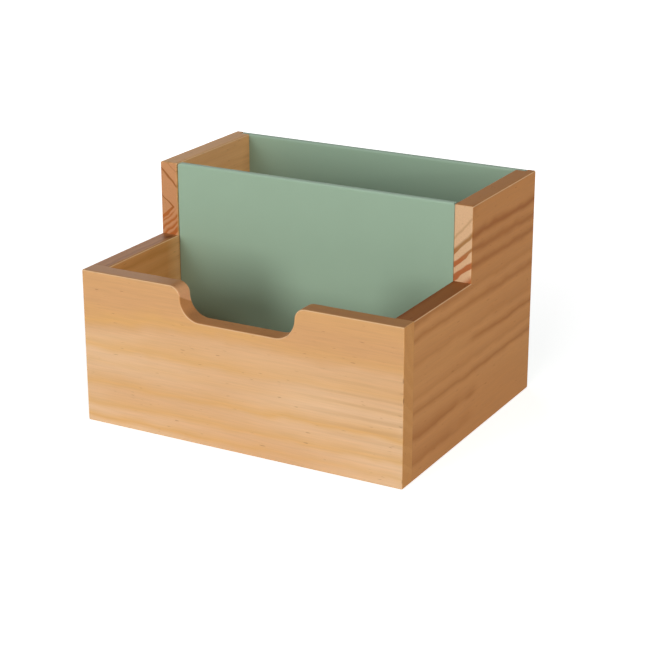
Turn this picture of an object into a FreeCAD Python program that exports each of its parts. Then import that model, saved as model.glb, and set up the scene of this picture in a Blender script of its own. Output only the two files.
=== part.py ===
"""Desk organizer: an open pine tray that steps up to a taller rear compartment.

Three pine boards are dowelled and glued into a U, and their edges are sanded round together.
Thin panels close it: a plywood bottom in grooves, a painted back in rabbets, and a painted divider
just behind the steps.
All sizes are in millimetres. The origin is the middle of the underside, X runs along the width
to the right, the front faces -Y, and Z points up from the desk.
"""
import FreeCAD
import Part
import math
import os

# Overall size
width = 180.0
depth = 150.0
front_height = 81.0
rear_height = 120.0
rear_length = 77.5

# Pine boards
front_thickness = 10.0
side_thickness = 10.0
edge_ease = 0.8

# Finger notch in the top edge of the front
notch_width = 64.0
notch_shoulder_radius = 6.0
notch_floor_radius = 11.0

# Thin panels
divider_thickness = 4.0
divider_setback = 1.0
divider_gap = 0.3
back_thickness = 4.0
back_lift = 1.0
bottom_thickness = 3.0
panel_ease = 1.4
panel_fit = 0.1

# Grooves that hold the bottom, and rabbets that hold the back
groove_lift = 4.0
groove_depth = 4.0
groove_play = 0.2
rabbet_width = 6.0

# Dowels in the two front corners
dowel_diameter = 5.0
dowel_length = 20.0
dowel_in_front = 6.0
dowel_margin = 20.0
dowel_chamfer = 0.6
dowel_end_gap = 0.8
dowel_fit = 0.05

# Pins that hold the back
pin_diameter = 1.2
pin_length = 15.0
pin_tip = 2.0
pin_head_diameter = 2.4
pin_head_height = 0.8
pin_margin = 14.0
pins_per_side = 3
pin_end_gap = 0.5
pin_fit = 0.05

# Places that follow from the sizes
half_width = width / 2
inner_x = half_width - side_thickness
groove_x = inner_x + groove_depth
rabbet_x = inner_x + rabbet_width
front_y = -depth / 2
rear_y = depth / 2
front_inner_y = front_y + front_thickness
step_y = rear_y - rear_length
back_face_y = rear_y - back_thickness
groove_top = groove_lift + bottom_thickness + groove_play
floor_z = groove_lift + bottom_thickness
notch_floor = front_height - notch_shoulder_radius - notch_floor_radius
same_place = 1e-6


def block(x_range, y_range, z_range):
    """A box between two places on each axis, given in either order."""
    spans = [sorted(places) for places in (x_range, y_range, z_range)]
    corner = FreeCAD.Vector(*[low for low, high in spans])
    return Part.makeBox(*[high - low for low, high in spans], corner)


def rod(diameter, x, z, y_range):
    """A round bar that runs along the depth."""
    y_low, y_high = sorted(y_range)
    start = FreeCAD.Vector(x, y_low, z)
    return Part.makeCylinder(diameter / 2, y_high - y_low, start, FreeCAD.Vector(0, 1, 0))


def on_front(x, z):
    """A point of the front face."""
    return FreeCAD.Vector(x, front_y, z)


def notch_side(side):
    """Shoulder and floor arcs of the notch on one side: -1 is left, +1 is right."""
    waist = notch_width / 2
    half_turn = math.sqrt(0.5)
    shoulder_x = waist + notch_shoulder_radius
    floor_x = waist - notch_floor_radius
    arc_z = front_height - notch_shoulder_radius
    shoulder = Part.Arc(
        on_front(side * shoulder_x, front_height),
        on_front(side * (shoulder_x - notch_shoulder_radius * half_turn),
                 arc_z + notch_shoulder_radius * half_turn),
        on_front(side * waist, arc_z))
    floor = Part.Arc(
        on_front(side * waist, arc_z),
        on_front(side * (floor_x + notch_floor_radius * half_turn),
                 arc_z - notch_floor_radius * half_turn),
        on_front(side * floor_x, notch_floor))
    return [shoulder.toShape(), floor.toShape()]


def front_blank():
    """The front board with its notch, before the edges are rounded."""
    shoulder_x = notch_width / 2 + notch_shoulder_radius
    floor_x = notch_width / 2 - notch_floor_radius
    edges = notch_side(-1) + notch_side(1)
    edges.append(Part.makeLine(on_front(-floor_x, notch_floor), on_front(floor_x, notch_floor)))
    edges.append(Part.makeLine(on_front(-half_width, 0), on_front(half_width, 0)))
    for side in (-1, 1):
        top_corner = on_front(side * half_width, front_height)
        edges.append(Part.makeLine(on_front(side * half_width, 0), top_corner))
        edges.append(Part.makeLine(top_corner, on_front(side * shoulder_x, front_height)))
    outline = Part.Wire(Part.__sortEdges__(edges))
    return Part.Face(outline).extrude(FreeCAD.Vector(0, front_thickness, 0))


def side_blank(side):
    """A side board: low in front of the step, tall behind it."""
    x_range = (side * inner_x, side * half_width)
    low = block(x_range, (front_inner_y, rear_y), (0, front_height))
    tall = block(x_range, (step_y, rear_y), (0, rear_height))
    return low.fuse(tall)


def lies_on(edge, **places):
    """Whether an edge keeps to the given x, y or z, with x counted on both sides of the middle."""
    for vertex in edge.Vertexes:
        point = {"x": abs(vertex.X), "y": vertex.Y, "z": vertex.Z}
        if any(abs(point[axis] - place) > same_place for axis, place in places.items()):
            return False
    return True


def crosses_notch(edge):
    """Whether an edge is a smooth seam between two faces of the notch."""
    box = edge.BoundBox
    inside = abs(box.Center.x) < inner_x - same_place
    return inside and box.YLength > front_thickness - same_place


def stays_sharp(edge):
    """Inside corners, edges that the panels cover, and the inner edge of the underside."""
    return (lies_on(edge, x=inner_x, y=front_inner_y)
            or lies_on(edge, x=inner_x, y=rear_y)
            or lies_on(edge, y=step_y, z=front_height)
            or lies_on(edge, x=inner_x, z=0)
            or lies_on(edge, y=front_inner_y, z=0)
            or crosses_notch(edge))


def pine_frame():
    """The three boards as one glued U, with every exposed edge sanded round."""
    frame = front_blank().fuse([side_blank(-1), side_blank(1)]).removeSplitter()
    exposed = [edge for edge in frame.Edges if not stays_sharp(edge)]
    return frame.makeFillet(edge_ease, exposed)


def dowel_places(side):
    """Middle of each dowel's section in one front corner, as x and z."""
    x = side * (half_width - side_thickness / 2)
    return [(x, dowel_margin), (x, front_height - dowel_margin)]


def dowel_reach(extra):
    """Where a dowel, or its hole with extra room at both ends, starts and stops along the depth."""
    start = front_inner_y - dowel_in_front
    return start - extra, start + dowel_length + extra


def dowel_holes(side):
    """Blind holes across the glue line of one front corner."""
    hole_diameter = dowel_diameter + 2 * dowel_fit
    return [rod(hole_diameter, x, z, dowel_reach(dowel_end_gap)) for x, z in dowel_places(side)]


def corner_dowels(side):
    """The dowels of one front corner, with chamfered ends."""
    dowels = []
    for x, z in dowel_places(side):
        dowel = rod(dowel_diameter, x, z, dowel_reach(0))
        rims = [edge for edge in dowel.Edges if edge.isClosed() and edge.BoundBox.YLength < same_place]
        dowels.append(dowel.makeChamfer(dowel_chamfer, rims))
    return Part.makeCompound(dowels)


def pin_places(side):
    """Middle of each pin's section along one rabbet, as x and z."""
    x = side * (rabbet_x + inner_x) / 2
    lowest = back_lift + pin_margin
    spacing = (rear_height - pin_margin - lowest) / (pins_per_side - 1)
    return [(x, lowest + spacing * number) for number in range(pins_per_side)]


def pin_holes(side):
    """Holes for the pins of one rabbet, each with a recess that leaves the head flush."""
    head_y = rear_y - pin_head_height
    holes = []
    for x, z in pin_places(side):
        recess = rod(pin_head_diameter + 2 * pin_fit, x, z, (head_y, rear_y))
        shank = rod(pin_diameter + 2 * pin_fit, x, z, (rear_y - pin_length - pin_end_gap, head_y))
        holes.append(recess.fuse(shank))
    return holes


def back_pins(side):
    """The pins of one rabbet: round head, shank and pointed tip."""
    head_y = rear_y - pin_head_height
    tip_y = rear_y - pin_length
    pins = []
    for x, z in pin_places(side):
        head = rod(pin_head_diameter, x, z, (head_y, rear_y))
        shank = rod(pin_diameter, x, z, (tip_y + pin_tip, head_y))
        tip_base = FreeCAD.Vector(x, tip_y + pin_tip, z)
        tip = Part.makeCone(pin_diameter / 2, 0, pin_tip, tip_base, FreeCAD.Vector(0, -1, 0))
        pins.append(head.fuse([shank, tip]))
    return Part.makeCompound(pins)


def front_panel(frame):
    """The front board: it covers the ends of the sides and holds the bottom in a stopped groove."""
    board = frame.common(block((-half_width, half_width), (front_y, front_inner_y), (0, front_height)))
    groove = block((-groove_x, groove_x), (front_inner_y - groove_depth, front_inner_y),
                   (groove_lift, groove_top))
    return board.cut([groove] + dowel_holes(-1) + dowel_holes(1))


def side_board(frame, side):
    """One side board with its groove for the bottom and its rabbet for the back."""
    board = frame.common(block((0, side * half_width), (front_inner_y, rear_y), (0, rear_height)))
    groove = block((side * inner_x, side * groove_x), (front_inner_y, back_face_y),
                   (groove_lift, groove_top))
    rabbet = block((side * inner_x, side * rabbet_x), (back_face_y, rear_y), (0, rear_height))
    return board.cut([groove, rabbet] + dowel_holes(side) + pin_holes(side))


def eased_panel(panel):
    """A painted panel with the edges round its top softened."""
    top = [edge for edge in panel.Edges if lies_on(edge, z=rear_height)]
    return panel.makeFillet(panel_ease, top)


def divider():
    """The panel between the compartments, glued between the sides just behind the steps."""
    half = inner_x - divider_gap
    front = step_y + divider_setback
    return eased_panel(block((-half, half), (front, front + divider_thickness), (floor_z, rear_height)))


def back_panel():
    """The back, flush with the rear edges of the sides and clear of the desk."""
    half = rabbet_x - panel_fit
    panel = eased_panel(block((-half, half), (back_face_y, rear_y), (back_lift, rear_height)))
    return panel.cut(pin_holes(-1) + pin_holes(1))


def bottom_panel():
    """The floor of both compartments, slid into its grooves from the rear."""
    half = groove_x - panel_fit
    front = front_inner_y - groove_depth + panel_fit
    return block((-half, half), (front, back_face_y - panel_fit), (groove_lift, floor_z))


def main():
    frame = pine_frame()
    nodes = {
        "front_panel": front_panel(frame),
        "left_side": side_board(frame, -1),
        "right_side": side_board(frame, 1),
        "divider": divider(),
        "back_panel": back_panel(),
        "bottom_panel": bottom_panel(),
        "front_left_dowels": corner_dowels(-1),
        "front_right_dowels": corner_dowels(1),
        "back_left_pins": back_pins(-1),
        "back_right_pins": back_pins(1),
    }
    os.makedirs("parts", exist_ok=True)
    for name, shape in nodes.items():
        shape.exportStep(f"parts/{name}.step")
        box = shape.optimalBoundingBox()
        print(f"{name}: {len(shape.Solids)} solids, valid {shape.isValid()}, {shape.Volume:.1f} mm3, "
              f"{box.XLength:.2f} x {box.YLength:.2f} x {box.ZLength:.2f} mm")


main()
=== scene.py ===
# %% [markdown]
# # A pine desk organizer with sage panels
# The organizer is an open tray: three lacquered pine boards glued into a U, a divider and a back of
# thin fibreboard, painted sage green, and a thin plywood floor. The solids come in at their real size
# with their edges already sanded round, so no piece is modelled again here. This lesson gives each
# board and panel its surface, then sets up the light and the camera.

# %% Load the organizer
import math

import bpy
from mathutils import Euler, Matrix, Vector


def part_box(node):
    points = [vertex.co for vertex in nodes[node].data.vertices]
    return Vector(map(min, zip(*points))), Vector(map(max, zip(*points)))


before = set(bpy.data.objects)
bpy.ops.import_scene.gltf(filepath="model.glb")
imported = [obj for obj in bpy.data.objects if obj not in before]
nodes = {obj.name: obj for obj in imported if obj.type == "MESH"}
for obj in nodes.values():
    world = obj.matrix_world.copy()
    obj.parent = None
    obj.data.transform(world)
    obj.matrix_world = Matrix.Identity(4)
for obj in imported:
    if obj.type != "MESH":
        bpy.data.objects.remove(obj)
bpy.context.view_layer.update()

bpy.ops.object.select_all(action="DESELECT")
print("loaded", len(nodes), "nodes:", ", ".join(sorted(nodes)))

# %% [markdown]
# ## Four small helpers
# Colours are picked from a screen as sRGB hex values, but a shader adds light up in linear values,
# so one function converts them. A second one adds a node to a material, sets its properties and
# fills or links its inputs, so that each finish below reads as a short list of steps. A third one
# starts an empty material, and a fourth one puts a finished material on some of the pieces.

# %% Colour and node helpers
MM = 0.001


def linear(hex_colour):
    """Linear RGBA from an sRGB hex value such as "d9ac7a"."""
    channels = [int(hex_colour[start:start + 2], 16) / 255 for start in (0, 2, 4)]
    return [c / 12.92 if c <= 0.04045 else ((c + 0.055) / 1.055) ** 2.4 for c in channels] + [1.0]


def add(tree, kind, inputs=None, **settings):
    """Adds a node. Settings are its properties; an input is a value, a socket, or a node to link from."""
    node = tree.nodes.new("ShaderNode" + kind)
    for name, value in settings.items():
        setattr(node, name, value)
    for name, value in (inputs or {}).items():
        if isinstance(value, bpy.types.Node):
            value = next(socket for socket in value.outputs if socket.enabled)
        if isinstance(value, bpy.types.NodeSocket):
            tree.links.new(value, node.inputs[name])
        else:
            node.inputs[name].default_value = value
    return node


def new_material(name):
    """An empty node material and its node tree."""
    material = bpy.data.materials.new(name)
    material.use_nodes = True
    material.node_tree.nodes.clear()
    return material, material.node_tree


def finish_nodes(material, *names):
    """Gives CAD pieces their finish."""
    for name in names:
        nodes[name].material_slots[0].material = material
    print(material.name, "on", ", ".join(names))


print("pine tan in linear light:", [round(value, 3) for value in linear("d9ac7a")])

# %% [markdown]
# ## Pine, seen as a slice of a trunk
# Pine is a softwood. Each year the trunk adds a ring round its pith: pale spring wood that darkens
# into a narrow line of late wood. A board is a slice of that trunk, so its faces show the rings as
# long bands and its ends show them as arcs. A flat picture can't do both, so the pattern here is a
# solid one: every point is measured from the pith in millimetres, and the board's own faces cut it
# open. The first step turns a point of the board into a place in the log. Some marks belong to one
# spot of the object instead, and are placed by its own X, Y and Z.

# %% Place in the log
GRAIN_TURN = {"X": Euler((0, -math.pi / 2, 0)), "Y": Euler((math.pi / 2, 0, 0))}


def log_place(tree, grain, pith_mm):
    """Millimetres from the pith: the first two axes cross the grain, the third runs along it."""
    turn = GRAIN_TURN[grain]
    pith = turn.to_matrix() @ Vector(pith_mm)
    place = add(tree, "TexCoord")
    return add(tree, "Mapping", {"Vector": place.outputs["Object"], "Location": -pith,
                                 "Rotation": turn, "Scale": (1 / MM,) * 3})


def board_place(tree):
    """A point's place on the object as separate X, Y and Z."""
    place = add(tree, "TexCoord")
    return add(tree, "SeparateXYZ", {0: place.outputs["Object"]}).outputs


def stretched_noise(tree, log, along, size_mm, detail, seed=0.0):
    """Noise of a real size across the grain, drawn out along it by the factor 1 / along."""
    place = add(tree, "VectorMath", {0: log, 1: (1, 1, along), 2: (seed, seed, seed)},
                operation="MULTIPLY_ADD")
    return add(tree, "TexNoise", {"Vector": place, "Scale": 1 / size_mm, "Detail": detail})


def pushed(tree, log, noise, reach_mm):
    """Shifts a place across the grain by a noise colour, up to about a quarter of the reach."""
    centred = add(tree, "VectorMath", {0: noise.outputs["Color"], 1: (0.5, 0.5, 0.5)}, operation="SUBTRACT")
    return add(tree, "VectorMath", {0: centred, 1: (reach_mm, reach_mm, 0), 2: log},
               operation="MULTIPLY_ADD")


print("grain can run along", " or ".join(GRAIN_TURN))

# %% [markdown]
# ## Growth rings from a chart
# Rings are as uneven as the weather was. A wave texture repeats too evenly for that, so each board
# has a chart instead: the radius of every dark line and how dark it is. A colour ramp holds the
# chart. Between two lines the tone rises, and after a line it falls back more quickly, as it does
# from one autumn to the next spring. A line with no darkness only starts a new spring, so that on a
# board's end the line after it stays thin. A slow wave and a fine ripple bend the rings first, and
# beside a knot they are drawn to a point.
#
# A board's end cuts the rings square, so a line there falls back within a millimetre and looks
# crisp. Only the late part of each year shows, and much more of it at the foot of a step, where
# lacquer has soaked in. A face along the grain cuts the rings at a slant and shows soft, broad bands.
# These fade in and out along the board: each line has one darkness for where the grain starts, at the
# left or front end, and one for the other end.

# %% Growth rings
RING_REACH_MM = 180
SLOW_WAVE_MM, RIPPLE_MM, RIPPLE_REACH_MM = 42, 8, 3
LINE_EDGE_MM, BAND_EDGE_MM = 0.9, 2.6
LINE_START, LINE_FULL = 0.52, 0.85
FOOT_LINE_START, FOOT_LINE_FULL = 0.12, 0.45
FOOT_MM, CLEAR_MM = 92, 99
STEP_MM, REAR_MM = 0, 20
BAND_CURVE = 1.6
FADE_HALF_MM, FADE_WANDER_MM, FADE_PATCH_MM = 25, 90, 14


def ring_radius(tree, log, wave_mm, seed, pointed):
    """Distance from the pith in mm, along rings that are round or come to a point."""
    wave = stretched_noise(tree, log, 0.22, SLOW_WAVE_MM, 1.0, seed)
    waved = pushed(tree, log, wave, wave_mm)
    ripple = stretched_noise(tree, log, 0.5, RIPPLE_MM, 1.0, seed)
    rippled = pushed(tree, waved, ripple, RIPPLE_REACH_MM)
    if pointed:
        sizes = add(tree, "VectorMath", {0: rippled}, operation="ABSOLUTE")
        return add(tree, "VectorMath", {0: sizes, 1: (1, 1, 0)}, operation="DOT_PRODUCT")
    across = add(tree, "VectorMath", {0: rippled, 1: (1, 1, 0)}, operation="MULTIPLY")
    return add(tree, "VectorMath", {0: across}, operation="LENGTH")


def ring_chart(tree, radius, radii_mm, darkness, edge_mm):
    """How late in its year a point grew: 0 is spring, and each line reaches its own darkness."""
    share = add(tree, "Math", {0: radius, 1: RING_REACH_MM}, operation="DIVIDE")
    chart = add(tree, "ValToRGB", {"Fac": share})
    ramp = chart.color_ramp
    ramp.elements[0].color = (0, 0, 0, 1)
    ramp.elements[1].color = (0, 0, 0, 1)
    for radius_mm, tone in zip(radii_mm, darkness):
        line = ramp.elements.new(radius_mm / RING_REACH_MM)
        line.color = (tone, tone, tone, 1)
        spring = ramp.elements.new((radius_mm + edge_mm) / RING_REACH_MM)
        spring.color = (0, 0, 0, 1)
    return chart


def at_foot(tree, foot_value, clear_value):
    """One value at the foot of the steps, and another one further up and at the rear."""
    place = board_place(tree)
    low = add(tree, "MapRange", {"Value": place["Z"], "From Min": FOOT_MM * MM, "From Max": CLEAR_MM * MM,
                                 "To Min": 1.0, "To Max": 0.0})
    ahead = add(tree, "MapRange", {"Value": place["Y"], "From Min": STEP_MM * MM, "From Max": REAR_MM * MM,
                                   "To Min": 1.0, "To Max": 0.0})
    share = add(tree, "Math", {0: low, 1: ahead}, operation="MULTIPLY")
    return add(tree, "MapRange", {"Value": share, "To Min": clear_value, "To Max": foot_value})


def line_tone(tree, radius, rings):
    """The rings as a board's end shows them. A ring is its radius and its two darknesses."""
    radii_mm, start_tones, end_tones = zip(*rings)
    late = ring_chart(tree, radius, radii_mm, map(max, start_tones, end_tones), LINE_EDGE_MM)
    start = at_foot(tree, FOOT_LINE_START, LINE_START)
    full = at_foot(tree, FOOT_LINE_FULL, LINE_FULL)
    return add(tree, "MapRange", {"Value": late, "From Min": start, "From Max": full},
               interpolation_type="SMOOTHSTEP")


def band_tone(tree, log, radius, rings, seed):
    """The rings as a face along the grain shows them, from one darkness over to the other."""
    radii_mm, *tones = zip(*[ring for ring in rings if any(ring[1:])])
    charts = [ring_chart(tree, radius, radii_mm, darkness, BAND_EDGE_MM) for darkness in tones]
    along = add(tree, "SeparateXYZ", {0: log}).outputs["Z"]
    wander = stretched_noise(tree, log, 0.5, FADE_PATCH_MM, 1.0, seed + 31)
    centred = add(tree, "Math", {0: wander, 1: 0.5}, operation="SUBTRACT")
    place = add(tree, "Math", {0: centred, 1: FADE_WANDER_MM, 2: along}, operation="MULTIPLY_ADD")
    share = add(tree, "MapRange", {"Value": place, "From Min": -FADE_HALF_MM, "From Max": FADE_HALF_MM},
                interpolation_type="SMOOTHSTEP")
    late = add(tree, "Mix", {"Factor": share, "A": charts[0], "B": charts[1]}, data_type="RGBA")
    return add(tree, "Math", {0: late, 1: BAND_CURVE}, operation="POWER")


print("ring charts reach", RING_REACH_MM, "mm from the pith")

# %% [markdown]
# ## Which way a surface faces
# Some of the finish depends on the cut. A face across the grain is end grain. A rounded edge leans
# between two faces, and on top edges a paler colour is painted in: a painted highlight where the
# rounded edge catches the light, and partly paler wood that sandpaper bared. The tops of the low walls
# face up and are painted darker, as painted shade. All three are told from the surface's direction,
# and the low walls from their height as well, so every side of every board works with no mask to
# paint.

# %% Cuts and edges
AXES = {"X": (1, 0, 0), "Y": (0, 1, 0), "Z": (0, 0, 1)}
THICKNESS_AXIS = {"X": "Y", "Y": "X"}
EDGE_LEAN = 0.8
NOTCH_MM, LOW_WALL_MM, STEP_START_MM, TALL_WALL_MM = 66, 80, 82, 110


def facing(tree, axis):
    """How squarely a surface faces along an axis: 1 forwards, 0 across, -1 backwards."""
    surface = add(tree, "NewGeometry")
    return add(tree, "VectorMath", {0: surface.outputs["Normal"], 1: AXES[axis]}, operation="DOT_PRODUCT")


def end_share(tree, grain):
    """1 on a face that cuts across the grain, 0 on a face along it."""
    turned = add(tree, "Math", {0: facing(tree, grain)}, operation="ABSOLUTE")
    return add(tree, "MapRange", {"Value": turned, "From Min": 0.55, "From Max": 0.9})


# Painted highlight: only upward-facing rounded edges get the paler colour, where they catch the light.
def top_edge_highlight_share(tree, grain):
    """1 on the rounded top edges of a board's two broad faces, 0 on flat faces and upright edges."""
    turned = add(tree, "Math", {0: facing(tree, THICKNESS_AXIS[grain])}, operation="ABSOLUTE")
    offset = add(tree, "Math", {0: turned, 1: EDGE_LEAN}, operation="SUBTRACT")
    away = add(tree, "Math", {0: offset}, operation="ABSOLUTE")
    rounded = add(tree, "MapRange", {"Value": away, "From Min": 0.08, "From Max": 1 - EDGE_LEAN,
                                     "To Min": 1.0, "To Max": 0.0})
    upward = add(tree, "MapRange", {"Value": facing(tree, "Z"), "From Min": 0.1, "From Max": 0.4})
    return add(tree, "Math", {0: rounded, 1: upward}, operation="MULTIPLY")


# Painted shade: this share darkens the tops of the low walls, where less light falls.
def low_top_shade_share(tree):
    """1 on the tops of the low walls, 0 in the notch, on the tall walls and on other faces."""
    upward = add(tree, "MapRange", {"Value": facing(tree, "Z"), "From Min": 0.7, "From Max": 0.95})
    height = board_place(tree)["Z"]
    above = add(tree, "MapRange", {"Value": height, "From Min": NOTCH_MM * MM,
                                   "From Max": LOW_WALL_MM * MM})
    below = add(tree, "MapRange", {"Value": height, "From Min": STEP_START_MM * MM,
                                   "From Max": TALL_WALL_MM * MM, "To Min": 1.0, "To Max": 0.0})
    reached = add(tree, "Math", {0: above, 1: below}, operation="MULTIPLY")
    return add(tree, "Math", {0: upward, 1: reached}, operation="MULTIPLY")


print("low walls end at about", LOW_WALL_MM, "mm, tall ones above", TALL_WALL_MM, "mm")

# %% [markdown]
# ## Flecks and the glue line
# Close up, pine shows short dark flecks where resin ducts are cut open. In the front corners the
# boards meet along a thin glue line. It shows only here and there, because most of it was sanded
# clean. Both are too fine to model, so each is cut out of a noise: the flecks are its highest peaks,
# and the glue shows in the joint's plane only where the noise is high.

# %% Flecks and glue
FLECK_START, FLECK_FULL = 0.76, 0.84
FLECK_WIDTH_MM, FLECK_LENGTH_MM = 0.8, 5
FLECK_COLOUR, GLUE_COLOUR = "8a5026", "6b3f20"
GLUE_HALF_MM, GLUE_PATCH_MM = 0.35, 7


def fleck_tone(tree, log):
    """Short dark dashes along the grain."""
    ducts = stretched_noise(tree, log, FLECK_WIDTH_MM / FLECK_LENGTH_MM, FLECK_WIDTH_MM, 0.0, 7)
    return add(tree, "MapRange", {"Value": ducts, "From Min": FLECK_START, "From Max": FLECK_FULL,
                                  "To Max": 0.4})


def glue_tone(tree, log, joint_y):
    """The plane of the corner joint, broken up along its height."""
    offset = add(tree, "Math", {0: board_place(tree)["Y"], 1: joint_y}, operation="SUBTRACT")
    distance = add(tree, "Math", {0: offset}, operation="ABSOLUTE")
    line = add(tree, "MapRange", {"Value": distance, "From Max": GLUE_HALF_MM * MM,
                                  "To Min": 1.0, "To Max": 0.0})
    broken = stretched_noise(tree, log, 1.0, GLUE_PATCH_MM, 1.0, 3)
    left = add(tree, "MapRange", {"Value": broken, "From Min": 0.45, "From Max": 0.65, "To Max": 0.22})
    return add(tree, "Math", {0: line, 1: left}, operation="MULTIPLY")


joint_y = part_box("right_side")[0].y
print("corner joints lie at y =", round(joint_y / MM, 2), "mm")

# %% [markdown]
# ## The pine finish
# The finish layers those steps. Wood near the pith, the heartwood, is darker and more golden than
# the sapwood outside it, and both drift a little in colour. Rings, fibres, flecks, glue, a painted
# highlight on the top edges and painted shade on the low tops come on top. A thin matt lacquer lies
# over it all, so the surface is smooth with hardly a sheen, and only the fibres stand out by a few
# hundredths of a millimetre. Real fibres are much finer than a pixel, so they are drawn as bundles
# that are wide enough to show.

# %% Lacquered pine
HEART_EDGE_MM, DRIFT_MM = 5, 34
FIBRE_WIDTH_MM, FIBRE_LENGTH_MM = 0.8, 20
# A painted highlight on the rounded top edges, partly paler sanded wood, and painted shade on the low tops.
SANDED_HIGHLIGHT_COLOUR, LOW_TOP_SHADE_COLOUR = "f6dcb4", "ccb9a9"
SMOOTH_LACQUER, ROUGH_LACQUER = 0.6, 0.74


def ground_warmth(tree, log, radius, heart_mm, seed):
    """Nearly 1 in the heartwood, and a slow drift of up to a half in the sapwood."""
    heart = add(tree, "MapRange", {"Value": radius, "From Min": heart_mm - HEART_EDGE_MM,
                                   "From Max": heart_mm + HEART_EDGE_MM, "To Min": 0.9, "To Max": 0.0},
                interpolation_type="SMOOTHSTEP")
    drift = stretched_noise(tree, log, 0.3, DRIFT_MM, 1.0, seed + 12)
    warmth = add(tree, "MapRange", {"Value": drift, "From Min": 0.36, "From Max": 0.64, "To Max": 0.5})
    return add(tree, "Math", {0: heart, 1: warmth}, operation="MAXIMUM")


def late_end_colour(tree, late, rusty):
    """Late wood on a board's end, rusty at the foot of the step, where the lacquer has gathered."""
    return add(tree, "Mix", {"Factor": at_foot(tree, 1.0, 0.0), "A": linear(late), "B": linear(rusty)},
               data_type="RGBA")


def pine(name, grain, pith_mm, heart_mm, rings, wave_mm, seed, face, end, top_shade=1.0, pointed=False,
         marks=None):
    """Lacquered pine for one board.

    Face and end are hex colours: sapwood, heartwood and late wood, and for the end also a rusty late
    wood. Top shade is how strongly painted shade darkens the low tops. Marks is a function that adds
    what only this board has.
    """
    material, tree = new_material(name)
    log = log_place(tree, grain, pith_mm)
    radius = ring_radius(tree, log, wave_mm, seed, pointed)
    bands, lines = band_tone(tree, log, radius, rings, seed), line_tone(tree, radius, rings)
    warmth = ground_warmth(tree, log, radius, heart_mm, seed)
    fibre = stretched_noise(tree, log, FIBRE_WIDTH_MM / FIBRE_LENGTH_MM, FIBRE_WIDTH_MM, 4.0)

    cuts = []
    late_colours = linear(face[2]), late_end_colour(tree, *end[2:])
    for (sap, heart), late, tone in zip((face[:2], end[:2]), late_colours, (bands, lines)):
        ground = add(tree, "Mix", {"Factor": warmth, "A": linear(sap), "B": linear(heart)},
                     data_type="RGBA")
        cuts.append(add(tree, "Mix", {"Factor": tone, "A": ground, "B": late}, data_type="RGBA"))
    wood = add(tree, "Mix", {"Factor": end_share(tree, grain), "A": cuts[0], "B": cuts[1]},
               data_type="RGBA")
    if marks:
        wood = marks(tree, log, wood)
    grained = add(tree, "MapRange", {"Value": fibre, "From Min": 0.3, "From Max": 0.7,
                                     "To Min": 0.95, "To Max": 1.04})
    toned = add(tree, "VectorMath", {0: wood, "Scale": grained}, operation="SCALE")
    flecked = add(tree, "Mix", {"Factor": fleck_tone(tree, log), "A": toned, "B": linear(FLECK_COLOUR)},
                  data_type="RGBA")
    # Painted highlight on the rounded top edges, partly paler sanded wood.
    edge_highlight = add(tree, "MapRange", {"Value": top_edge_highlight_share(tree, grain), "To Max": 0.45})
    highlighted = add(tree, "Mix", {"Factor": edge_highlight, "A": flecked, "B": linear(SANDED_HIGHLIGHT_COLOUR)}, data_type="RGBA")
    # Painted shade: the tops of the low walls are darkened.
    top_shade_share = add(tree, "Math", {0: low_top_shade_share(tree), 1: top_shade}, operation="MULTIPLY")
    top_shaded = add(tree, "Mix", {"Factor": top_shade_share, "A": highlighted, "B": linear(LOW_TOP_SHADE_COLOUR)},
                  data_type="RGBA", blend_type="MULTIPLY")
    glued = add(tree, "Mix", {"Factor": glue_tone(tree, log, joint_y), "A": top_shaded,
                              "B": linear(GLUE_COLOUR)}, data_type="RGBA")

    relief = add(tree, "Math", {0: fibre, 1: 0.5, 2: bands}, operation="MULTIPLY_ADD")
    bump = add(tree, "Bump", {"Height": relief, "Strength": 0.25, "Distance": 0.04 * MM})
    sheen = add(tree, "MapRange", {"Value": fibre, "To Min": SMOOTH_LACQUER, "To Max": ROUGH_LACQUER})
    lacquer = add(tree, "BsdfPrincipled", {"Base Color": glued, "Roughness": sheen, "Normal": bump,
                                           "Specular IOR Level": 0.2})
    add(tree, "OutputMaterial", {"Surface": lacquer})
    return material


print("pine fibres are drawn", FIBRE_WIDTH_MM, "mm wide")

# %% [markdown]
# ## The front board
# This board was sawn flat, from beside the heart, so its bands are broad, soft and far apart. It is
# the palest of the three: a pinkish tan with golden bands and a golden top. Three marks are its own.
# Near its right end lies a patch of finer, greyer streaks. The notch was routed after the board was
# planed. Its bare cut is pinker than the rest, and below a sloping line a browner painted shadow lies
# on it, where the right part of the board shades the notch's left flank. The upright corners stand
# where things knock against them, and show a few dark dents. Such marks could be painted on a map of
# the board. Placed by its own X, Y and Z, they need no map and run on from face to face.

# %% Front board
STREAK_GAP_MM = 5.5
WAVE_PERIOD = math.pi / 10
STREAK_START_X, STREAK_FULL_X = 15, 70
STREAK_MIDDLE_Z, STREAK_HALF_Z = 34, 30
STREAK_COLOUR = "b07c50"
NOTCH_INSIDE_MM, NOTCH_OUTSIDE_MM = 31, 38
# Painted shadow on the notch's flank, below a sloping line.
SHADOW_LINE_MM, SHADOW_LINE_HALF_MM, SHADOW_LINE_FALL = 38.4, 0.4, 0.5
SHADOWED_CUT_COLOUR, UPPER_CUT_COLOUR = "c3844f", "efb082"
DENT_MM, DENT_COLOUR = 7, "6e4423"


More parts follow.
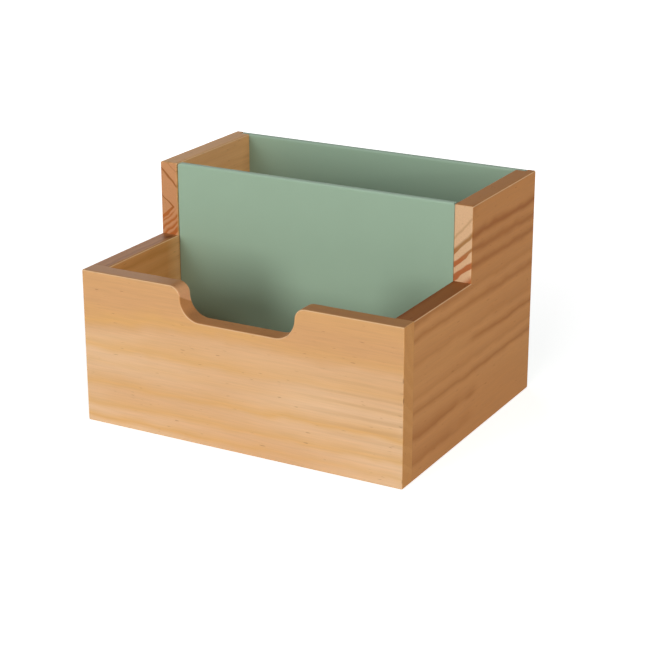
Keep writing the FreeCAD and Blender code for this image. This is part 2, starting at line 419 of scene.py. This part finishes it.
def grey_streaks(tree, log, wood):
    """A patch of fine grey-brown streaks towards the right end of the front board."""
    drawn_out = add(tree, "VectorMath", {0: log, 1: (1, 1, 0.1)}, operation="MULTIPLY")
    waves = add(tree, "TexWave", {"Vector": drawn_out, "Scale": WAVE_PERIOD / STREAK_GAP_MM,
                                  "Distortion": 3.0, "Detail": 3.0, "Detail Scale": 2.5},
                bands_direction="X")
    line = add(tree, "MapRange", {"Value": waves.outputs["Fac"], "From Min": 0.5, "From Max": 1.0,
                                  "To Max": 0.28})
    place = board_place(tree)
    sideways = add(tree, "MapRange", {"Value": place["X"], "From Min": STREAK_START_X * MM,
                                      "From Max": STREAK_FULL_X * MM}, interpolation_type="SMOOTHSTEP")
    offset = add(tree, "Math", {0: place["Z"], 1: STREAK_MIDDLE_Z * MM}, operation="SUBTRACT")
    distance = add(tree, "Math", {0: offset}, operation="ABSOLUTE")
    upright = add(tree, "MapRange", {"Value": distance, "From Min": 0.0, "From Max": STREAK_HALF_Z * MM,
                                     "To Min": 1.0, "To Max": 0.0}, interpolation_type="SMOOTHSTEP")
    faced = add(tree, "MapRange", {"Value": end_share(tree, "X"), "To Min": 1.0, "To Max": 0.0})
    patch = add(tree, "Math", {0: sideways, 1: upright}, operation="MULTIPLY")
    shown = add(tree, "Math", {0: patch, 1: faced}, operation="MULTIPLY")
    share = add(tree, "Math", {0: shown, 1: line}, operation="MULTIPLY")
    return add(tree, "Mix", {"Factor": share, "A": wood, "B": linear(STREAK_COLOUR)}, data_type="RGBA")


def routed_notch(tree, wood):
    """The cut that the router left round the notch: pink, with a brown painted shadow below a sloping line.
    """
    place = board_place(tree)
    # Painted shadow: below this sloping line the cut takes the shadowed colour.
    height = add(tree, "Math", {0: place["Y"], 1: SHADOW_LINE_FALL, 2: place["Z"]}, operation="MULTIPLY_ADD")
    above = add(tree, "MapRange", {"Value": height, "From Min": (SHADOW_LINE_MM - SHADOW_LINE_HALF_MM) * MM,
                                   "From Max": (SHADOW_LINE_MM + SHADOW_LINE_HALF_MM) * MM})
    cut_with_shadow = add(tree, "Mix", {"Factor": above, "A": linear(SHADOWED_CUT_COLOUR), "B": linear(UPPER_CUT_COLOUR)},
               data_type="RGBA")
    aside = add(tree, "Math", {0: place["X"]}, operation="ABSOLUTE")
    within = add(tree, "MapRange", {"Value": aside, "From Min": NOTCH_INSIDE_MM * MM,
                                    "From Max": NOTCH_OUTSIDE_MM * MM, "To Min": 0.85, "To Max": 0.0})
    broad = add(tree, "Math", {0: facing(tree, "Y")}, operation="ABSOLUTE")
    cut = add(tree, "MapRange", {"Value": broad, "From Min": 0.5, "From Max": 0.8,
                                 "To Min": 1.0, "To Max": 0.0})
    share = add(tree, "Math", {0: within, 1: cut}, operation="MULTIPLY")
    return add(tree, "Mix", {"Factor": share, "A": wood, "B": cut_with_shadow}, data_type="RGBA")


def knocked_corners(tree, log, wood):
    """Dark dents, a few millimetres long, along the rounded upright corners."""
    slants = [add(tree, "Math", {0: facing(tree, axis)}, operation="ABSOLUTE") for axis in "XY"]
    slant = add(tree, "Math", {0: slants[0], 1: slants[1]}, operation="MINIMUM")
    corner = add(tree, "MapRange", {"Value": slant, "From Min": 0.15, "From Max": 0.4, "To Max": 0.6})
    dents = stretched_noise(tree, log, 1.0, DENT_MM, 1.0, 21)
    dent = add(tree, "MapRange", {"Value": dents, "From Min": 0.6, "From Max": 0.68})
    share = add(tree, "Math", {0: corner, 1: dent}, operation="MULTIPLY")
    return add(tree, "Mix", {"Factor": share, "A": wood, "B": linear(DENT_COLOUR)}, data_type="RGBA")


def front_marks(tree, log, wood):
    """All that only the front board shows."""
    return knocked_corners(tree, log, routed_notch(tree, grey_streaks(tree, log, wood)))


front_rings = [(27, 0.6, 0.6), (34, 0.7, 0.6), (42, 0.7, 0.7), (50, 0.6, 0.6), (57, 0.3, 0.5),
               (62.6, 0.9, 0.6), (72.3, 0.8, 0.6), (78.5, 0.4, 0.3), (87.2, 0.8, 0.9), (95.5, 0.8, 0.8),
               (102, 0.9, 0.6), (109, 0.7, 0.7)]
front_pine = pine("pine_front_board", "X", pith_mm=(0, -20, 90), heart_mm=66, rings=front_rings,
                  wave_mm=11, seed=5, face=("e5be94", "d19d69", "dca968"),
                  end=("c99053", "c78e51", "c48a4d", "c48a4d"), top_shade=0.75, marks=front_marks)
finish_nodes(front_pine, "front_panel")

# %% [markdown]
# ## The two side boards
# Both sides are richer in colour than the front. The steps cut across their grain, so the rings show
# there: on the right as lines that rise to the outside, round a heart that lies far up and to the
# left, and on the left as arrowheads that point inwards, as they grow beside a knot. A small dark spot
# lies on top of the low wall, at the foot of the left step. From there to the front the inside of the
# left board is painted darker and redder, as painted shade in the front tray. One board mirrored would
# show the same grain twice, which real boards never do, so each has a chart and a heart of its own.

# %% Side boards
SPOT_CENTRE = Vector((-83, -7.5, 83)) * MM
SPOT_RADIUS_MM, SPOT_RIM_MM = 4.5, 3
SPOT_COLOUR, SPOT_SHARE = "7c4a26", 0.75
# Painted shade on the inside of the left wall, in front of the step.
TRAY_SHADE_FULL_Y, TRAY_SHADE_END_Y = -14, -4
TRAY_SHADE_COLOUR = "f0ddc2"


def dark_spot(tree, log, wood):
    """A small dark spot, darkest at its middle and ragged at its rim."""
    place = add(tree, "TexCoord").outputs["Object"]
    distance = add(tree, "VectorMath", {0: place, 1: SPOT_CENTRE}, operation="DISTANCE")
    ragged = stretched_noise(tree, log, 1.0, SPOT_RIM_MM, 1.0, 4)
    reach = add(tree, "MapRange", {"Value": ragged, "To Min": 0.7 * SPOT_RADIUS_MM * MM,
                                   "To Max": 1.3 * SPOT_RADIUS_MM * MM})
    inside = add(tree, "MapRange", {"Value": distance, "From Min": 0.0, "From Max": reach,
                                    "To Min": 1.3, "To Max": 0.0})
    share = add(tree, "Math", {0: inside, 1: SPOT_SHARE}, operation="MINIMUM")
    return add(tree, "Mix", {"Factor": share, "A": wood, "B": linear(SPOT_COLOUR)}, data_type="RGBA")


def left_marks(tree, log, wood):
    """All that only the left board shows: painted shade on the inside in front of the step, a dark spot at
    its foot.
    """
    # Painted shade: the inside of the left wall in front of the step is darkened and reddened.
    ahead = add(tree, "MapRange", {"Value": board_place(tree)["Y"], "From Min": TRAY_SHADE_FULL_Y * MM,
                                   "From Max": TRAY_SHADE_END_Y * MM, "To Min": 1.0, "To Max": 0.0})
    inward = add(tree, "MapRange", {"Value": facing(tree, "X"), "From Min": 0.4, "From Max": 0.9})
    share = add(tree, "Math", {0: ahead, 1: inward}, operation="MULTIPLY")
    tray_shaded = add(tree, "Mix", {"Factor": share, "A": wood, "B": linear(TRAY_SHADE_COLOUR)}, data_type="RGBA",
                 blend_type="MULTIPLY")
    return dark_spot(tree, log, tray_shaded)


right_rings = [(73, 0.0, 0.0), (79.3, 0.75, 0.1), (84.8, 1.0, 1.0), (86.6, 0.0, 0.0), (90.4, 1.0, 0.85),
               (92.4, 0.0, 0.0), (95.9, 1.0, 0.85), (104, 0.65, 0.5), (110.6, 0.7, 0.75),
               (121.2, 0.45, 0.45), (127.4, 0.2, 0.8), (135.6, 0.45, 0.45), (142.1, 0.65, 0.75),
               (152.5, 0.75, 0.1), (164.4, 0.65, 0.0)]
right_pine = pine("pine_right_board", "Y", pith_mm=(25, 0, 160), heart_mm=102, rings=right_rings,
                  wave_mm=4, seed=2, face=("c48a51", "b97e46", "92531c"),
                  end=("e5bd93", "ddb389", "a87848", "b4683a"))
left_rings = [(10, 0.0, 0.0), (13.4, 1.0, 0.5), (15.8, 0.52, 0.3), (20, 0.52, 0.3), (24, 0.52, 0.3),
              (28.5, 1.0, 0.4), (36, 0.7, 0.3), (44, 0.5, 0.4), (52, 0.5, 0.3), (61, 0.5, 0.4),
              (70, 0.4, 0.4), (79, 0.5, 0.3), (88, 0.4, 0.4), (97, 0.5, 0.3), (106, 0.4, 0.4)]
left_pine = pine("pine_left_board", "Y", pith_mm=(-96, 0, 96), heart_mm=30, rings=left_rings,
                 wave_mm=3, seed=9, face=("dfa86e", "d9a268", "bc8343"),
                 end=("cc9263", "c88d5f", "9a5c2c", "b2632c"), pointed=True, marks=left_marks)
finish_nodes(right_pine, "right_side")
finish_nodes(left_pine, "left_side")

# %% [markdown]
# ## Sage paint on fibreboard
# The panels are thin fibreboard with a matt sage paint. A roller leaves a fine stipple and a barely
# uneven colour, and the paint hides everything else, so two noises are enough. Their tops get a paler
# colour, a painted highlight for the light that their rounded top edges catch.

# %% Sage paint
CLOUD_MM, STIPPLE_MM = 30, 0.9


def sage_paint():
    """Matt sage paint, rolled on: an even colour whose stipple softens every reflection."""
    material, tree = new_material("sage_paint")
    place = add(tree, "TexCoord").outputs["Object"]
    cloud = add(tree, "TexNoise", {"Vector": place, "Scale": 1 / (CLOUD_MM * MM), "Detail": 2.0})
    stipple = add(tree, "TexNoise", {"Vector": place, "Scale": 1 / (STIPPLE_MM * MM), "Detail": 2.0})
    colour = add(tree, "Mix", {"Factor": cloud, "A": linear("99b39b"), "B": linear("9db79f")},
                 data_type="RGBA")
    # Painted highlight: upward faces of the panels are made paler.
    upward = add(tree, "MapRange", {"Value": facing(tree, "Z"), "From Min": 0.3, "From Max": 0.8,
                                    "To Max": 0.8})
    lit_panel_tops = add(tree, "Mix", {"Factor": upward, "A": colour, "B": linear("aec6b2")}, data_type="RGBA")
    bump = add(tree, "Bump", {"Height": stipple, "Strength": 0.2, "Distance": 0.03 * MM})
    paint = add(tree, "BsdfPrincipled", {"Base Color": lit_panel_tops, "Roughness": 0.7, "Normal": bump,
                                         "Specular IOR Level": 0.25})
    add(tree, "OutputMaterial", {"Surface": paint})
    return material


finish_nodes(sage_paint(), "divider", "back_panel")

# %% [markdown]
# ## Plywood floor, beech dowels and steel pins
# The floor is thin birch plywood, left as wood: its warm light shows on the foot of the divider. Two
# dowels in each front corner are buried in the boards, so their beech only shows when the box is
# taken apart. Both are raw hardwoods with short, fine rays. The heads of the pins that hold the back
# do show from behind. They are bright drawn wire, and the hammer has left them slightly rough. One
# recipe serves both woods, each with its own colours and width of ray, and one noise marks the steel.

# %% Plywood, beech and steel
WIRE_MARK_MM = 0.25


def raw_hardwood(name, grain, ray_mm, pale, dark):
    """Raw hardwood: a dull, pale brown with fine darker rays along the grain."""
    material, tree = new_material(name)
    log = log_place(tree, grain, (0, 0, 0))
    rays = stretched_noise(tree, log, 0.12, ray_mm, 2.0)
    share = add(tree, "MapRange", {"Value": rays, "From Min": 0.4, "From Max": 0.7})
    colour = add(tree, "Mix", {"Factor": share, "A": linear(pale), "B": linear(dark)}, data_type="RGBA")
    bump = add(tree, "Bump", {"Height": rays, "Strength": 0.3, "Distance": 0.05 * MM})
    wood = add(tree, "BsdfPrincipled", {"Base Color": colour, "Roughness": 0.75, "Normal": bump,
                                        "Specular IOR Level": 0.2})
    add(tree, "OutputMaterial", {"Surface": wood})
    return material


def bright_wire():
    """Bright drawn steel wire: a light grey metal with a blurred, slightly scratched reflection."""
    material, tree = new_material("bright_steel_wire")
    place = add(tree, "TexCoord").outputs["Object"]
    marks = add(tree, "TexNoise", {"Vector": place, "Scale": 1 / (WIRE_MARK_MM * MM), "Detail": 2.0})
    colour = add(tree, "Mix", {"Factor": marks, "A": linear("b4b4b2"), "B": linear("d4d4d2")},
                 data_type="RGBA")
    rough = add(tree, "MapRange", {"Value": marks, "To Min": 0.3, "To Max": 0.5})
    metal = add(tree, "BsdfPrincipled", {"Base Color": colour, "Metallic": 1.0, "Roughness": rough})
    add(tree, "OutputMaterial", {"Surface": metal})
    return material


finish_nodes(raw_hardwood("birch_plywood", "X", 0.9, "e0b884", "cb9f68"), "bottom_panel")
finish_nodes(raw_hardwood("raw_beech", "Y", 0.6, "dcb68c", "b98d62"),
             "front_left_dowels", "front_right_dowels")
finish_nodes(bright_wire(), "back_left_pins", "back_right_pins")

# %% [markdown]
# ## A white floor and room
# The organizer stands on a white table in a white room. The floor scatters light like card, and what
# the camera and reflections see of it is lifted to white by emission that lights nothing. Stronger
# lamps would whiten it too, but they would bleach the wood. The lift is smaller round the object, so
# that its soft shadow still shows there.

# %% Floor and room
FLOOR_SIZE = 6.0
SHADOW_RADIUS, WHITE_RADIUS = 0.15, 0.6
SHADOW_LIFT, ROOM_LIGHT = 0.7, 0.09
CARD_COLOUR, ROOM_COLOUR = "e7e7e7", "ffffff"


def seen_share(tree):
    """1 for what the camera or a reflection sees, 0 for light that falls on the object."""
    rays = add(tree, "LightPath").outputs
    mirrored = add(tree, "Math", {0: rays["Is Glossy Ray"], 1: rays["Is Transmission Ray"]},
                   operation="MAXIMUM")
    return add(tree, "Math", {0: rays["Is Camera Ray"], 1: mirrored}, operation="MAXIMUM")


def white_card():
    """White card: a matt white that glows only where it is looked at."""
    material, tree = new_material("white_card")
    place = add(tree, "TexCoord").outputs["Object"]
    away = add(tree, "VectorMath", {0: place}, operation="LENGTH")
    lift = add(tree, "MapRange", {"Value": away, "From Min": SHADOW_RADIUS, "From Max": WHITE_RADIUS,
                                  "To Min": SHADOW_LIFT, "To Max": 1.0})
    glow = add(tree, "Math", {0: seen_share(tree), 1: lift}, operation="MULTIPLY")
    card = add(tree, "BsdfDiffuse", {"Color": linear(CARD_COLOUR)})
    light = add(tree, "Emission", {"Strength": glow})
    both = add(tree, "AddShader", {0: card, 1: light})
    add(tree, "OutputMaterial", {"Surface": both})
    return material


bpy.ops.mesh.primitive_plane_add(size=FLOOR_SIZE, location=(0, 0, 0))
floor = bpy.context.object
floor.name = "floor"
floor.data.materials.append(white_card())

room = bpy.data.worlds.new("white_room")
room.use_nodes = True
room.node_tree.nodes.clear()
level = add(room.node_tree, "MapRange", {"Value": seen_share(room.node_tree), "To Min": ROOM_LIGHT,
                                         "To Max": 1.0})
sky = add(room.node_tree, "Background", {"Color": linear(ROOM_COLOUR), "Strength": level})
add(room.node_tree, "OutputWorld", {"Surface": sky})
bpy.context.scene.world = room
print("floor of", FLOOR_SIZE, "m, white from", WHITE_RADIUS, "m outwards")

# %% [markdown]
# ## Studio light
# Softboxes are area lamps, whose size sets how soft a shadow is. A large one stands low in front, a
# little to the left, and makes the soft shadow of the front board on the divider. A weaker one above
# it lifts the tops. From the right, a small one lights the right side, the notch's left flank and the
# inside of the left wall, and a large weak one reaches into the rear compartment. The last one stands
# low behind, on the left, for the two sides that the others miss. The watts are set so that a colour
# on the front board renders about as written.

# %% Softboxes
LAMP_DISTANCE = 1.6
LAMP_TARGET = Vector((0, 0, 60)) * MM


def compass(azimuth, elevation):
    """Unit vector towards a compass angle and a height in degrees. Azimuth 0 is straight in front."""
    turn, tilt = math.radians(azimuth), math.radians(elevation)
    return Vector((math.sin(turn) * math.cos(tilt), -math.cos(turn) * math.cos(tilt), math.sin(tilt)))


def look_along(holder, target, back, distance):
    """Puts a lamp or camera at a distance from its target and turns it to look there."""
    holder.location = target + back * distance
    holder.rotation_euler = back.to_track_quat("Z", "Y").to_euler()
    bpy.context.scene.collection.objects.link(holder)


def softbox(name, azimuth, elevation, width, height, watts):
    """A rectangular area light that looks at the organizer."""
    lamp = bpy.data.lights.new(name, "AREA")
    lamp.shape = "RECTANGLE"
    lamp.size, lamp.size_y = width, height
    lamp.energy = watts
    look_along(bpy.data.objects.new(name, lamp), LAMP_TARGET, compass(azimuth, elevation), LAMP_DISTANCE)
    print(name, "at azimuth", azimuth, "elevation", elevation, "with", watts, "W")


softbox("front_softbox", -12, 13, 0.5, 0.75, 13.9)
softbox("upper_softbox", 10, 32, 0.5, 0.3, 4.8)
softbox("right_softbox", 87, 12, 0.15, 0.08, 7.0)
softbox("side_softbox", 102, 28, 0.7, 0.4, 3.2)
softbox("rear_softbox", 222, 4, 0.6, 0.25, 12.0)

# %% [markdown]
# ## The camera
# The photograph was taken from the front right, a little above the object, with a long lens. Angle,
# distance and lens could be set by eye, but a camera that is fitted to the corners of the boards,
# whose sizes are known, gives all of them at once.

# %% Camera
AZIMUTH, ELEVATION, DISTANCE = 28.76, 19.78, 0.938
CAMERA_TARGET = Vector((10.2, 0, 42.5)) * MM
LENS_MM, SENSOR_MM = 99.37, 36

lens = bpy.data.cameras.new("camera")
lens.lens, lens.sensor_width = LENS_MM, SENSOR_MM
camera = bpy.data.objects.new("camera", lens)
look_along(camera, CAMERA_TARGET, compass(AZIMUTH, ELEVATION), DISTANCE)
bpy.context.scene.camera = camera
bpy.context.scene.view_settings.view_transform = "Standard"
print("camera at", [round(value, 3) for value in camera.location], "m")
